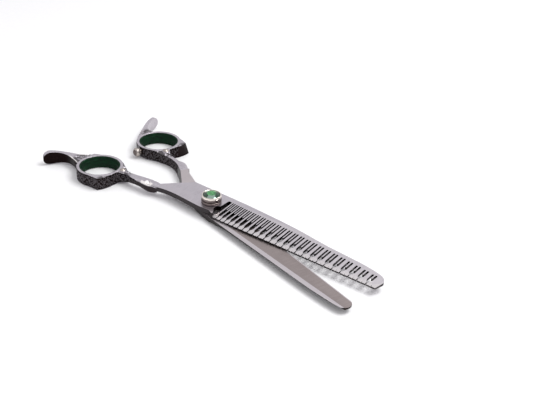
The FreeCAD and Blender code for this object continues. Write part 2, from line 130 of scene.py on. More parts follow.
# ---------------------------------------------------------------- materials
METAL = {"Metallic": 1.0}
NOISE_LOW, NOISE_HIGH = 0.3, 0.7     # a noise seldom leaves this range


def grain(tree, size_mm, turn=0.0, detail=3.0):
    """Noise whose grains have this size along x, y and z, in millimetres, turned about z."""
    coords = add_node(tree, "ShaderNodeTexCoord", {})
    turned = add_node(tree, "ShaderNodeMapping", {
        "vector_type": "TEXTURE", "Rotation": (0, 0, math.radians(turn)),
        "Scale": [s * MM for s in size_mm], "Vector": coords.outputs["Object"]})
    noise = add_node(tree, "ShaderNodeTexNoise", {
        "Scale": 1.0, "Detail": detail, "Roughness": 0.6, "Vector": turned.outputs["Vector"]})
    return noise.outputs["Fac"]


def two_tones(tree, pattern, first, second, most=1.0, start=NOISE_LOW, end=NOISE_HIGH):
    """Colour that goes from first towards second as a pattern goes from start to end.  At the end
    the share of second is most.  Either colour may be another node's output."""
    share = add_node(tree, "ShaderNodeMapRange", {
        "From Min": start, "From Max": end, "To Max": most, "Value": pattern})
    mix = add_node(tree, "ShaderNodeMix", {
        "data_type": "RGBA", 0: share.outputs["Result"], 6: first, 7: second})
    return mix.outputs[2]


def painted_tone(tree, attribute, first, second):
    """Colour that goes from first to second where the mesh is painted with an attribute."""
    share = add_node(tree, "ShaderNodeAttribute", {"attribute_name": attribute})
    mix = add_node(tree, "ShaderNodeMix", {
        "data_type": "RGBA", 0: share.outputs["Fac"], 6: first, 7: second})
    return mix.outputs[2]


def finished(material, tree, settings, tone, rough, relief=None, glossy=None):
    """Join colour, roughness and relief in the material's shader.

    rough is a pattern with its least and greatest roughness.  relief is a pattern with its
    strength and its depth in millimetres.  glossy is an attribute with the roughness it brings.
    """
    pattern, low, high = rough
    share = add_node(tree, "ShaderNodeMapRange", {
        "From Min": NOISE_LOW, "From Max": NOISE_HIGH, "To Min": low, "To Max": high, "Value": pattern})
    roughness = share.outputs["Result"]
    if glossy:
        attribute, least = glossy
        where = add_node(tree, "ShaderNodeAttribute", {"attribute_name": attribute})
        mix = add_node(tree, "ShaderNodeMix", {
            "data_type": "FLOAT", 0: where.outputs["Fac"], 2: roughness, 3: least})
        roughness = mix.outputs[0]
    inputs = {**settings, "Base Color": tone, "Roughness": roughness}
    if relief:
        pattern, strength, depth = relief
        bump = add_node(tree, "ShaderNodeBump", {
            "Strength": strength, "Distance": depth * MM, "Height": pattern})
        inputs["Normal"] = bump.outputs["Normal"]
    shader = add_node(tree, "ShaderNodeBsdfPrincipled", inputs)
    add_node(tree, "ShaderNodeOutputMaterial", {"Surface": shader.outputs["BSDF"]})
    return material


def bolt_steel():
    """Stainless steel turned on a lathe: fine level tool lines, a soft satin sheen and a faint
    cloudy change of tone.  The lines are drawn 0.15 mm wide, coarser than real, so that they show."""
    material, tree = new_material("turned_bolt_steel")
    lines = grain(tree, (2.5, 2.5, 0.15), 0.0, 2.0)
    clouds = grain(tree, (9, 6, 6), 0.0, 2.0)
    tone = two_tones(tree, lines, "#928D90", "#B5B0B2")
    tone = two_tones(tree, clouds, tone, "#B5B0B2", 0.35)
    return finished(material, tree, METAL, tone, (lines, 0.26, 0.4), (lines, 0.12, 0.02))


def banded_blade_steel():
    """Hollow-ground stainless steel, warmer and duller in the hollow from the wheel, with a painted highlight
    on the flats along the spine and the edge and on the steel before the hollow, and painted shade on the
    side walls.  The grinding lines are drawn 0.16 mm wide, about twice the real ones."""
    material, tree = new_material("hollow_ground_stainless_steel")
    lines = grain(tree, (0.16, 7, 3), EDGE_TURN, 2.0)
    clouds = grain(tree, (14, 5, 6), EDGE_TURN, 2.0)
    tone = two_tones(tree, lines, "#8F8583", "#A39997")
    tone = two_tones(tree, clouds, tone, "#A79D9B", 0.4)
    # painted highlight on the spine flat, the edge land and the steel before the hollow
    tone = painted_tone(tree, "spine_band_highlight", tone, "#CBC5C8")
    # painted shade on the side walls
    tone = painted_tone(tree, "side_wall_shade", tone, "#1C1515")
    return finished(material, tree, METAL, tone, (lines, 0.28, 0.42), (lines, 0.12, 0.02))


def toothed_blade_steel():
    """Satin stainless steel whose sloped, toothed face is finer and lighter than the flat round the pivot,
    with a painted highlight on the tooth heads; painted shade makes the walls of the gaps and round the
    outside dark and brownish.  The grinding lines are drawn 0.15 mm wide, about twice the real ones."""
    material, tree = new_material("satin_stainless_steel")
    lines = grain(tree, (0.15, 6, 3), 8.0, 2.0)
    clouds = grain(tree, (12, 6, 6), 0.0, 2.0)
    tone = two_tones(tree, lines, "#B7B2B8", "#C9C4CA")
    tone = two_tones(tree, clouds, tone, "#CDC8CD", 0.4)
    # painted highlight on the tooth heads, and a lighter tone on the sloped face
    tone = painted_tone(tree, "tooth_face", tone, "#D3CFD0")
    # painted shade on the walls of the gaps, round the outside and in the V grooves
    tone = painted_tone(tree, "gap_wall_shade", tone, "#140D0C")
    return finished(material, tree, METAL, tone, (lines, 0.27, 0.4), (lines, 0.1, 0.02))


def engraved_steel():
    """Cast stainless steel, satin on top, with chemically blackened engraving: the scroll's ridges are rubbed
    bright again and the ground between them stays brown-black.  Painted shade darkens the walls, and a
    painted highlight makes the knuckle's shoulder and the edges at the root of the finger rest nearly white."""
    material, tree = new_material("blackened_and_shaded_engraved_steel")
    specks = grain(tree, (0.5, 0.5, 0.5), 0.0, 4.0)
    satin = grain(tree, (1.6, 0.2, 1.0), 12.0, 2.0)
    bright = two_tones(tree, satin, "#B3AEB4", "#C9C4CA")
    black = two_tones(tree, specks, "#0A0606", "#241A1A")
    # painted shade on the walls, together with the real blackening of the engraving
    tone = painted_tone(tree, "blackening_and_painted_shade", bright, black)
    # painted highlight, nearly white
    tone = painted_tone(tree, "painted_highlight", tone, "#FBF7F4")
    return finished(material, tree, METAL, tone, (satin, 0.26, 0.42), (specks, 0.12, 0.03), ("polish", 0.13))


def polished_metal(name, light, dark, rough):
    """Buffed metal: near mirror, with faint hazy patches and hairline wipe marks.  The marks are
    drawn 0.08 mm wide, coarser than real."""
    material, tree = new_material(name)
    haze = grain(tree, (1.5, 1.5, 1.5))
    hairs = grain(tree, (0.08, 1.2, 0.5), 30.0, 2.0)
    tone = two_tones(tree, haze, light, dark, end=0.8)
    return finished(material, tree, METAL, tone, (haze, rough, rough * 2.2), (hairs, 0.05, 0.01))


def turned_steel():
    """Steel turned on a lathe and darkened: level tool lines run round the side, with painted shade in the
    groove.  The lines are drawn 0.12 mm apart, about twice the real feed."""
    material, tree = new_material("darkened_turned_steel")
    lines = grain(tree, (6, 6, 0.12), 0.0, 1.0)
    patches = grain(tree, (1.2, 1.2, 0.8))
    tone = two_tones(tree, lines, "#6E6360", "#9A8F8B")
    tone = two_tones(tree, patches, tone, "#57494A", 0.5)
    # painted shade in the groove
    tone = painted_tone(tree, "groove", tone, "#241A19")
    return finished(material, tree, METAL, tone, (lines, 0.2, 0.36), (lines, 0.25, 0.03))


def moulded_silicone(name, deep, lit, rough):
    """Moulded silicone rubber: even colour with a soft gloss, fine spark-eroded mould texture
    and paler dust on the rubbed places.  The texture's grain is 0.25 mm."""
    material, tree = new_material(name)
    skin = grain(tree, (0.25, 0.25, 0.25), 0.0, 4.0)
    dust = grain(tree, (3, 3, 1.2))
    tone = two_tones(tree, dust, deep, lit)
    return finished(material, tree, {"IOR": 1.41, "Specular IOR Level": 0.22}, tone,
                    (dust, rough, rough + 0.16), (skin, 0.25, 0.03))


def cut_glass():
    """Green glass over foil, under a hard clear gloss: each facet carries its own painted reflection, from
    navy black to pale leaf green."""
    material, tree = new_material("foiled_cut_glass")
    facet = add_node(tree, "ShaderNodeAttribute", {"attribute_name": "facet_painted_reflection"}).outputs["Fac"]
    depth = grain(tree, (1.1, 1.1, 1.1), 25.0)
    green = two_tones(tree, depth, "#17572B", "#56B266")
    # painted reflection, one tone for each facet
    tone = two_tones(tree, facet, "#0B1220", green, 1.0, 0.0, 0.5)
    tone = two_tones(tree, facet, tone, "#8F9A9A", 0.9, 0.7, 1.0)
    glass = {"IOR": 1.6, "Metallic": 0.5, "Coat Weight": 0.3, "Coat Roughness": 0.02, "Coat IOR": 1.6}
    return finished(material, tree, glass, tone, (depth, 0.04, 0.12))


def slip_nylon():
    """Natural nylon: milky, with a faint moulded mottle of about 1 mm."""
    material, tree = new_material("natural_nylon")
    mottle = grain(tree, (1.0, 1.0, 1.0))
    tone = two_tones(tree, mottle, "#D8D6CC", "#E8E6DE")
    return finished(material, tree, {"IOR": 1.53, "Subsurface Weight": 0.1}, tone, (mottle, 0.4, 0.55))


def paper_floor():
    """Matt white studio board with the faintest fibre mottle, about 4 mm."""
    material, tree = new_material("white_studio_board")
    fibres = grain(tree, (4, 4, 4), 0.0, 2.0)
    tone = two_tones(tree, fibres, "#EDEDED", "#EFEFEF")
    return finished(material, tree, {"Specular IOR Level": 0.1}, tone, (fibres, 0.9, 0.9))


MATERIALS = {
    "toothed_blade": toothed_blade_steel(),
    "plain_blade": banded_blade_steel(),
    "handle": engraved_steel(),
    "bright": polished_metal("buffed_steel", "#C9C2BC", "#8F837C", 0.16),
    "bezel": polished_metal("buffed_nickel", "#F2ECE4", "#D6CCC2", 0.06),
    "bolt": bolt_steel(),
    "dial": turned_steel(),
    "spring": polished_metal("blued_spring_steel", "#6C7078", "#41434A", 0.2),
    "bush": polished_metal("sintered_bronze", "#A9793F", "#7C5528", 0.3),
    "nylon": slip_nylon(),
    "insert": moulded_silicone("bottle_green_silicone", "#00150A", "#07341B", 0.55),
    "pad": moulded_silicone("smoky_silicone", "#4A403E", "#7D736F", 0.28),
    "foil": polished_metal("green_foil", "#2C6B40", "#0C2518", 0.15),
    "glass": cut_glass(),
}


# ---------------------------------------------------------------- mesh helpers
def cad_copy(node, flat_angle=0.6):
    """A welded working copy of a CAD node, in millimetres, with its flat faces made whole."""
    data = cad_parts[node].data
    mesh = bpy.data.meshes.new(node + "_work")
    verts = [tuple(v.co / MM) for v in data.vertices]
    mesh.from_pydata(verts, [], [tuple(p.vertices) for p in data.polygons])
    work = bmesh.new()
    work.from_mesh(mesh)
    bpy.data.meshes.remove(mesh)
    bmesh.ops.remove_doubles(work, verts=work.verts, dist=0.002)
    if flat_angle:
        bmesh.ops.dissolve_limit(work, angle_limit=math.radians(flat_angle), verts=work.verts,
                                 edges=work.edges)
    return work


def to_mesh(work, name):
    mesh = bpy.data.meshes.new(name)
    work.to_mesh(mesh)
    work.free()
    return mesh


def modified(mesh, modifiers):
    """A new mesh with modifiers worked in, each given as (kind, settings)."""
    obj = bpy.data.objects.new("work", mesh)
    bpy.context.scene.collection.objects.link(obj)
    for kind, settings in modifiers:
        modifier = obj.modifiers.new(kind.lower(), kind)
        for key, value in settings.items():
            setattr(modifier, key, value)
    graph = bpy.context.evaluated_depsgraph_get()
    made = bpy.data.meshes.new_from_object(obj.evaluated_get(graph))
    bpy.data.objects.remove(obj)
    return made


def place(name, mesh, material, body, nodes, sharp=None):
    """Bring a millimetre mesh to metres and ride it on its body in place of its CAD nodes."""
    mesh.name = name
    mesh.transform(Matrix.Scale(MM, 4))
    if sharp is None:
        mesh.shade_flat()
    else:
        mesh.shade_smooth()
        mesh.set_sharp_from_angle(angle=math.radians(sharp))
    obj = bpy.data.objects.new(name, mesh)
    bpy.context.scene.collection.objects.link(obj)
    mesh.materials.clear()
    mesh.materials.append(material)
    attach(obj, body)
    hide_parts(*nodes)


def points_of(mesh, what="co"):
    """All vertex places, or normals, as an array."""
    values = np.empty(len(mesh.vertices) * 3, np.float32)
    mesh.vertices.foreach_get(what, values)
    return values.reshape(-1, 3).astype(float)


def paint(mesh, name, values, domain="POINT"):
    """Keep one number for each vertex or face, for the material to read."""
    layer = mesh.attributes.new(name, "FLOAT", domain)
    layer.data.foreach_set("value", np.asarray(values, np.float32))


def lathe(rows, segments, closed=False):
    """A turned body from (radius, height, flats) rows.  Rows with flats are drawn as a polygon of
    that many sides.  A closed profile makes a ring, and an open one is capped at both ends."""
    verts, faces = [], []
    for radius, height, flats in rows:
        for k in range(segments):
            angle = 2 * math.pi * k / segments
            reach = radius
            if flats:
                half = math.pi / flats
                reach = radius * math.cos(half) / math.cos(angle % (2 * half) - half)
            verts.append((reach * math.cos(angle), reach * math.sin(angle), height))
    count = len(rows)
    for i in range(count if closed else count - 1):
        j = (i + 1) % count
        for k in range(segments):
            n = (k + 1) % segments
            faces.append((i * segments + k, i * segments + n, j * segments + n, j * segments + k))
    if not closed:
        faces.append(tuple(reversed(range(segments))))
        faces.append(tuple(range((count - 1) * segments, count * segments)))
    mesh = bpy.data.meshes.new("turned")
    mesh.from_pydata(verts, [], faces)
    work = bmesh.new()
    work.from_mesh(mesh)
    bmesh.ops.recalc_face_normals(work, faces=work.faces)
    work.to_mesh(mesh)
    work.free()
    return mesh


def at(mesh, x, y):
    mesh.transform(Matrix.Translation((x, y, 0)))
    return mesh


# ---------------------------------------------------------------- handles
class Drawing:
    """A handle's own drawing, found from its ring insert: a points at the pivot, b at the other handle."""

    def __init__(self, insert, side):
        self.centre = np.array(centre_of(insert)[:2])
        self.a = -self.centre / np.linalg.norm(self.centre)
        self.b = np.array([-self.a[1], self.a[0]]) * side

    def of(self, xy):
        rel = np.asarray(xy) - self.centre
        return rel @ self.a, rel @ self.b

    def point(self, a, b):
        return self.centre + self.a * a + self.b * b


FINGER = Drawing("finger_ring_insert", 1)
THUMB = Drawing("thumb_ring_insert", -1)


def outline_at(work, height):
    """The longest closed outline of a solid at one height, as evenly spaced points."""
    cut = bmesh.ops.bisect_plane(work, geom=work.verts[:] + work.edges[:] + work.faces[:],
                                 plane_co=(0, 0, height), plane_no=(0, 0, 1))
    joins = {}
    for edge in cut["geom_cut"]:
        if isinstance(edge, bmesh.types.BMEdge):
            for one, other in (edge.verts, reversed(edge.verts)):
                joins.setdefault(one, []).append(other)
    loops = []
    while joins:
        loop = [next(iter(joins))]
        while loop[-1] in joins:
            ahead = [v for v in joins.pop(loop[-1]) if v in joins]
            if not ahead:
                break
            loop.append(ahead[0])
        loops.append(np.array([v.co[:2] for v in loop]))
    work.free()
    lengths = [np.linalg.norm(np.roll(p, -1, 0) - p, axis=1).sum() for p in loops]
    points = loops[int(np.argmax(lengths))]
    points = np.vstack([points, points[:1]])
    along = np.concatenate([[0], np.cumsum(np.linalg.norm(np.diff(points, axis=0), axis=1))])
    steps = np.arange(0, along[-1], OUTLINE_STEP)
    return np.column_stack([np.interp(steps, along, points[:, k]) for k in (0, 1)])


def curl(radius, turns, start, hand, width):
    """A spiral that tightens to a bud, as (across, up, half-width) points."""
    points = []
    count = int(radius * turns * 34)
    for t in np.linspace(0, 1, count):
        angle = start + hand * 2 * math.pi * turns * t
        r = radius * (1 - t) ** 0.85
        points.append((r * math.cos(angle), r * math.sin(angle), width * (1 - 0.25 * t)))
    points.append((0.0, 0.0, width * 1.5))
    return points


def leaf(x, y, angle, length, width):
    """A tear-shaped lobe that grows from a stem at this angle."""
    points = []
    for t in np.linspace(0, 1, 9):
        bend = angle + 0.5 * t
        points.append((x + length * t * math.cos(bend), y + length * t * math.sin(bend),
                       0.1 + width * math.sin(math.pi * min(1.0, t + 0.12)) ** 0.8))
    return points


def scroll_band(length, draw):
    """A leafy scroll for a wall: curls turned up and down by turns, with lobes between them."""
    middle = RING_HEIGHT / 2
    count = round(length / BAY)
    strokes = []
    for k in range(count):
        way = 1 if k % 2 else -1
        s0 = (k + 0.5) * length / count + draw.uniform(-0.3, 0.3)
        bud = middle + way * draw.uniform(0.8, 1.3)
        for t in np.linspace(-0.5, 0.5, 24):
            strokes.append((s0 + t * BAY, middle - way * 1.5 * math.cos(math.pi * t), 0.27))
        radius = draw.uniform(1.1, 1.45)
        start = -way * math.pi / 2 + draw.uniform(-0.5, 0.5)
        strokes += [(s0 + u, bud + v, w) for u, v, w in curl(radius, 1.3, start, way, 0.26)]
        for j in range(7):
            angle = draw.uniform(-0.3, 0.3) + j * 2 * math.pi / 7
            u, v = s0 + (radius + 0.3) * math.cos(angle), bud + (radius + 0.3) * math.sin(angle)
            strokes += leaf(u, v, angle + 0.5 * way, draw.uniform(0.6, 1.2), 0.22)
        for j in (-1, 0, 1):
            angle = -way * (math.pi / 2 + draw.uniform(-0.7, 0.7))
            strokes += leaf(s0 + j * BAY / 3, middle - way * 1.7, angle, draw.uniform(0.7, 1.3), 0.22)
    return strokes


def wall_strokes(path, surface, draw):
    """The scroll laid along an outline and pressed onto the handle's wall."""
    strokes = []
    for s, z, width in scroll_band(len(path) * OUTLINE_STEP, draw):
        spot = path[int(round(s / OUTLINE_STEP)) % len(path)]
        hit = surface.find_nearest(Vector((spot[0], spot[1], z)))[0]
        strokes.append((hit, width))
    return strokes


def top_strokes(drawing, surface, draw):
    """Small curls on the top face, where the ring meets the shank and where the rest leaves it."""
    strokes = []
    # each curl's place in the drawing and its radius
    curls = [(9.0, -8.6, 0.95), (10.6, -5.9, 1.05), (11.6, -3.1, 1.0), (13.4, -0.6, 0.95),
             (15.0, 1.9, 0.9), (10.9, 5.0, 0.9), (17.4, 0.9, 0.8), (-12.4, 5.6, 1.1),
             (-14.6, 3.6, 1.1), (-11.4, 1.6, 1.0), (-13.4, 0.6, 0.9), (-17.0, 2.6, 0.8)]
    for i, (a, b, radius) in enumerate(curls):
        hand = 1 if i % 2 else -1
        marks = curl(radius, 1.2, draw.uniform(0, 6.2), hand, 0.24)
        marks += leaf(radius, 0, 0.8, 0.9, 0.2) + leaf(-radius, 0.3, 2.6, 0.9, 0.2)
        for u, v, width in marks:
            x, y = drawing.point(a + u, b + v)
            above = Vector((x, y, RING_HEIGHT + 0.5))
            strokes.append((surface.find_nearest(above)[0], width))
    return strokes


def ridge_heights(points, strokes):
    """How near each point is to the middle of a stroke: 1 on it, 0 off it."""
    tree = KDTree(len(strokes))
    for i, (spot, _) in enumerate(strokes):
        tree.insert(spot, i)
    tree.balance()
    heights = np.zeros(len(points))
    for k, point in enumerate(points):
        best = 0.0
        for _, index, distance in tree.find_n(point, 5):
            best = max(best, 1 - (distance / strokes[index][1]) ** 2)
        heights[k] = best
    return fade(heights, 0.0, 0.75)


def nearest_distance(points, path):
    """Plan distance from each point to an outline."""
    tree = KDTree(len(path))
    for i, (x, y) in enumerate(path):
        tree.insert((x, y, 0), i)
    tree.balance()
    return np.array([tree.find((x, y, 0))[2] for x, y in points])


def rounded_knuckle(mesh, drawing, path, region):
    """Round the top edge of the knuckle's outer side into a barrel."""
    points = points_of(mesh)
    a, b = drawing.of(points[:, :2])
    share = region(a, b)
    chosen = np.where((share > 0.01) & (points[:, 2] > WALL_Z - 1.2))[0]
    outer = path[drawing.of(path)[1] < 0]
    near = np.clip(nearest_distance(points[chosen, :2], outer), 0, SHOULDER_REACH)
    inward = 1 - near / SHOULDER_REACH
    drop = SHOULDER_DROP * (1 - np.sqrt(np.clip(1 - inward ** 2, 0, 1)))
    lift = fade(points[chosen, 2], WALL_Z - 1.2, WALL_Z + 1.4)
    points[chosen, 2] -= drop * lift * share[chosen]
    mesh.vertices.foreach_set("co", points.astype(np.float32).ravel())
    mesh.update()


def painted_highlight_edges(points, rise, path, a, b, knuckle):
    """1 where a highlight is painted: the knuckle's shoulder and the edges at the root of the finger rest."""
    shoulder = knuckle(a, b) * fade(a, 25.6, 26.4) * fade(a, 33.0, 31.5)
    shoulder *= fade(rise, 0.995, 0.98) * fade(rise, 0.5, 0.62)
    root = fade(a, -11.0, -12.5) * fade(a, -21.0, -18.0) * fade(rise, 0.5, 0.8)
    chosen = np.where(root > 0.02)[0]
    near = np.full(len(points), 9.0)
    near[chosen] = nearest_distance(points[chosen, :2], path)
    return np.maximum(shoulder, root * fade(near, 0.9, 0.5))


def fill_socket(work, drawing, socket):
    """Fill the socket of the brazed tongue, which no eye reaches; the remesh melts the block in."""
    a, b, z = (sum(pair) / 2 for pair in socket)
    x, y = drawing.point(a, b)
    turn = Matrix.Rotation(math.atan2(drawing.a[1], drawing.a[0]), 4, "Z")
    size = Matrix.Diagonal((*(high - low for low, high in socket), 1.0))
    bmesh.ops.create_cube(work, size=1.0, matrix=Matrix.Translation((x, y, z)) @ turn @ size)


def carved_handle(node, drawing, seed, socket, knuckle, plain_walls, wall_shade, highlight_strength, name, body):
    """One handle: softened edges, carved scroll on its walls, and a tone for the engraving's blackening and
    the walls' painted shade, with a painted highlight on some edges.
    """
    draw = random.Random(seed)
    path = outline_at(cad_copy(node, 0), WALL_Z)
    work = cad_copy(node, 0)
    fill_socket(work, drawing, socket)
    mesh = modified(to_mesh(work, node), [
        ("REMESH", {"mode": "VOXEL", "voxel_size": VOXEL, "adaptivity": 0.0}),
        ("SMOOTH", {"factor": 0.5, "iterations": 4}),
    ])
    rounded_knuckle(mesh, drawing, path, knuckle)
    points, normals = points_of(mesh), points_of(mesh, "normal")
    a, b = drawing.of(points[:, :2])
    wall = fade(np.abs(normals[:, 2]), 0.8, 0.35)
    outside = fade(np.hypot(a, b), *RING_SIDE)
    surface = BVHTree.FromPolygons([tuple(p) for p in points], [tuple(p.vertices) for p in mesh.polygons])
    on_wall = wall * outside * plain_walls(a, b)
    at_shank = fade(a, 6.0, 8.0) * fade(a, 19.5, 17.0)
    at_rest = fade(a, -10.3, -11.2) * fade(a, -18.2, -16.5)
    junction = fade(np.hypot(a, b), 11.3, 11.8) * np.maximum(at_shank, at_rest)
    stud_a, stud_b = drawing.of(np.array(centre_of(node.split("_")[0] + "_shank_stud")[:2]))
    junction *= fade(np.hypot(a - stud_a, b - stud_b), 1.7, 2.0)
    on_top = (normals[:, 2] > 0.5) * (1 - wall) * junction
    heights = np.zeros(len(points))
    scroll = ((on_wall, wall_strokes(path, surface, draw)), (on_top, top_strokes(drawing, surface, draw)))
    for share, strokes in scroll:
        chosen = np.where(share > 0.02)[0]
        heights[chosen] = np.maximum(heights[chosen], ridge_heights(points[chosen], strokes))
    sunk = 1 - heights
    depth = sunk * (CARVE_DEPTH * on_wall + TOP_DEPTH * on_top)
    carved = points - normals * depth[:, None]
    mesh.vertices.foreach_set("co", carved.astype(np.float32).ravel())
    mesh.update()
    engraved = np.maximum(on_wall, on_top)
    # painted shade on the walls, set for each handle, plus the real blackening in the engraving
    tone = wall * outside * wall_shade(a, b, normals)
    paint(mesh, "blackening_and_painted_shade", np.clip(tone * (1 - 0.13 * heights * engraved) + engraved * sunk * 0.8, 0, 1))
    paint(mesh, "polish", wall * (1 - engraved))
    # painted highlight on the knuckle's shoulder and the edges at the root of the finger rest
    paint(mesh, "painted_highlight", highlight_strength * painted_highlight_edges(points, normals[:, 2], path, a, b, knuckle))
    place(name, mesh, MATERIALS["handle"], body, [node], sharp=180)


def corner_wall(a, b):
    """1 on the smooth wall of the ring's corner that faces the pivot."""
    return fade(a, 6.2, 7.4) * fade(a, 15.0, 13.5) * fade(b, -0.6, -1.8)


def finger_knuckle(a, b):
    return fade(a, 22.6, 24.2) * fade(a, 36.5, 34.5) * fade(b, 0.6, -0.6)


def thumb_knuckle(a, b):
    return fade(a, 22.0, 24.0) * fade(a, 34.0, 31.5) * fade(b, -0.4, -1.2)


def finger_walls(a, b):
    """Where the finger handle's walls are engraved."""
    return (1 - finger_knuckle(a, b)) * fade(a, -16.5, -12.5) * fade(a, 34.5, 31.0)


def thumb_walls(a, b):
    smooth = np.maximum(corner_wall(a, b) * fade(b, -6.0, -7.6), thumb_knuckle(a, b))
    bumper = centre_of("bumper_holder")
    bump_a, bump_b = THUMB.of(np.array(bumper[:2]))
    away = fade(np.hypot(a - bump_a, b - bump_b), 2.6, 3.4)
    return (1 - smooth) * fade(a, -17.0, -13.0) * fade(a, 31.0, 25.0) * away


def finger_wall_shade(a, b, normals):
    """Painted shade on the finger handle's walls: full on the rest's hollow face."""
    hollow = fade(a, -9.5, -12.0) * (normals[:, :2] @ FINGER.b < 0.2)
    return 0.92 + 0.08 * hollow + 0.04 * finger_knuckle(a, b)


def thumb_wall_shade(a, b, normals):
    """Painted shade on the thumb handle's walls: the rest stays bright, and the wall along its shank is the
    darkest.
    """
    rest = fade(a, -10.5, -12.5)
    shank = fade(a, 19.0, 24.0) * (normals[:, :2] @ THUMB.b > 0)
    return (0.92 + 0.06 * shank + 0.07 * corner_wall(a, b)) * (1 - 0.9 * rest)


carved_handle("finger_handle", FINGER, 7, FINGER_SOCKET, finger_knuckle, finger_walls, finger_wall_shade, 1.0,
              "finger_handle_engraved", "toothed_half")
carved_handle("thumb_handle", THUMB, 11, THUMB_SOCKET, thumb_knuckle, thumb_walls, thumb_wall_shade, 0.15,
              "thumb_handle_engraved", "plain_half")


def scroll_stud(node, name, body):
    """A domed rivet head with a curl cut in it."""
    low, high = (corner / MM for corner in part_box(node))
    reach, top = (high.x - low.x) / 2, high.z
    rings, spokes = 22, 72
    verts, faces = [(0, 0, top)], []
    for i in range(1, rings + 1):
        r = reach * i / rings
        for k in range(spokes):
            angle = 2 * math.pi * k / spokes
            dome = top - STUD_DOME * (r / reach) ** 2.4
            groove = 0.5 + 0.5 * math.cos(angle + 2 * math.pi * r / (0.62 * reach))
            cut = 0.2 * groove ** 3 * min(1, 4 * r / reach) * min(1, 6 * (1 - r / reach))
            verts.append((r * math.cos(angle), r * math.sin(angle), dome - cut))
    base = len(verts)
    for k in range(spokes):
        angle = 2 * math.pi * k / spokes
        verts.append((reach * math.cos(angle), reach * math.sin(angle), top - 0.85))
    for k in range(spokes):
        n = (k + 1) % spokes
        faces.append((0, 1 + k, 1 + n))
        for i in range(rings - 1):
            first, second = 1 + i * spokes, 1 + (i + 1) * spokes
            faces.append((first + k, second + k, second + n, first + n))
        last = 1 + (rings - 1) * spokes
        faces.append((last + k, base + k, base + n, last + n))
    faces.append(tuple(reversed(range(base, base + spokes))))
    mesh = bpy.data.meshes.new(name)
    mesh.from_pydata(verts, [], faces)
    middle = (low + high) / 2
    place(name, at(mesh, middle.x, middle.y), MATERIALS["bright"], body, [node],
          sharp=50)


scroll_stud("finger_shank_stud", "finger_scroll_stud", "toothed_half")
scroll_stud("thumb_shank_stud", "thumb_scroll_stud", "plain_half")


def soft_insert(node, name, body):
    """A finger-ring liner: rolled lips, a ledge under the top lip and a snap rib in the groove."""
    low, high = (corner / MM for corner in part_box(node))
    middle = (low + high) / 2
    bottom, top = low.z, high.z
    rows = [
        (10.08, bottom), (9.8, bottom), (9.55, bottom + 0.06), (9.38, bottom + 0.2),
        (9.32, bottom + 0.45), (9.3, bottom + 0.9), (9.3, bottom + 2.6), (9.3, top - 1.75),
        (9.32, top - 1.62), (9.42, top - 1.55), (9.46, top - 1.42), (9.46, top - 0.7),
        (9.47, top - 0.4), (9.53, top - 0.16), (9.66, top - 0.03), (9.85, top), (10.02, top - 0.05),
        (10.09, top - 0.2), (10.09, 4.34), (10.58, 4.34), (10.58, 2.16), (10.09, 2.16),
    ]
    mesh = lathe([(r, z, 0) for r, z in rows], 144, closed=True)
    place(name, at(mesh, middle.x, middle.y), MATERIALS["insert"], body, [node],
          sharp=40)


soft_insert("finger_ring_insert", "finger_insert_moulded", "toothed_half")
soft_insert("thumb_ring_insert", "thumb_insert_moulded", "plain_half")


def bumper():
    """The silencer between the rings: a fluted steel cup on a narrow neck, with a domed pad."""
    start = THUMB.centre
    aim = np.array(centre_of("bumper_holder")[:2]) - start
    aim /= np.linalg.norm(aim)
    height = centre_of("bumper_holder").z
    aside = Vector((0, 0, 1)).rotation_difference(Vector((aim[0], aim[1], 0)))
    turn = Matrix.Translation((start[0], start[1], height)) @ aside.to_matrix().to_4x4()
    # radius, distance from the foot and number of flutes
    cup = [
        (0.05, -0.8, 0), (0.68, -0.8, 0), (0.68, 0, 0), (1.7, 0.02, 0), (1.74, 0.15, 0), (1.45, 0.35, 0),
        (1.42, 0.75, 0), (1.8, 0.92, 0), (2.2, 1.12, 14), (2.34, 1.4, 14), (2.34, 1.65, 14),
        (2.12, 1.85, 0), (2.34, 2.05, 14), (2.32, 2.35, 14), (2.15, 2.7, 14), (1.85, 2.88, 0),
        (1.62, 2.9, 0), (1.6, 2.75, 0), (1.6, 1.95, 0), (0.05, 1.93, 0),
    ]
    pad = [
        (0.02, 1.96, 0), (1.56, 1.96, 0), (1.58, 2.9, 0), (1.52, 3.12, 0), (1.32, 3.36, 0), (1.0, 3.55, 0),
        (0.6, 3.68, 0), (0.2, 3.74, 0), (0.02, 3.745, 0),
    ]
    for rows, segments, name, finish, node, slot, sharp in (
            (cup, 112, "bumper_cup_fluted", "bright", "bumper_holder", "polished_steel", 30),
            (pad, 72, "bumper_pad_domed", "pad", "bumper_pad", "clear_silicone", 60)):
        mesh = lathe([(r, BUMPER_FOOT + z, flutes) for r, z, flutes in rows], segments)
        mesh.transform(turn)
        place(name, mesh, MATERIALS[finish], "plain_half", [node], sharp)


bumper()


# ---------------------------------------------------------------- blades
def cut_off(work, point, normal):
    """Grind a flat: take away what is beyond a plane and close the cut."""
    cut = bmesh.ops.bisect_plane(work, geom=work.verts[:] + work.edges[:] + work.faces[:],
                                 plane_co=point, plane_no=normal, clear_outer=True)
    edges = [g for g in cut["geom_cut"] if isinstance(g, bmesh.types.BMEdge)]
    bmesh.ops.edgenet_fill(work, edges=edges)


def tooth_heads(work):
    """Left and right x of each tooth's end, along the line of the tooth tips."""
    edge = min(v.co.y for v in work.verts)
    ends = sorted({round(v.co.x, 2) for v in work.verts if v.co.y < edge + 0.01})
    return edge, [(left, right) for left, right in zip(ends, ends[1:]) if right - left > 0.8]


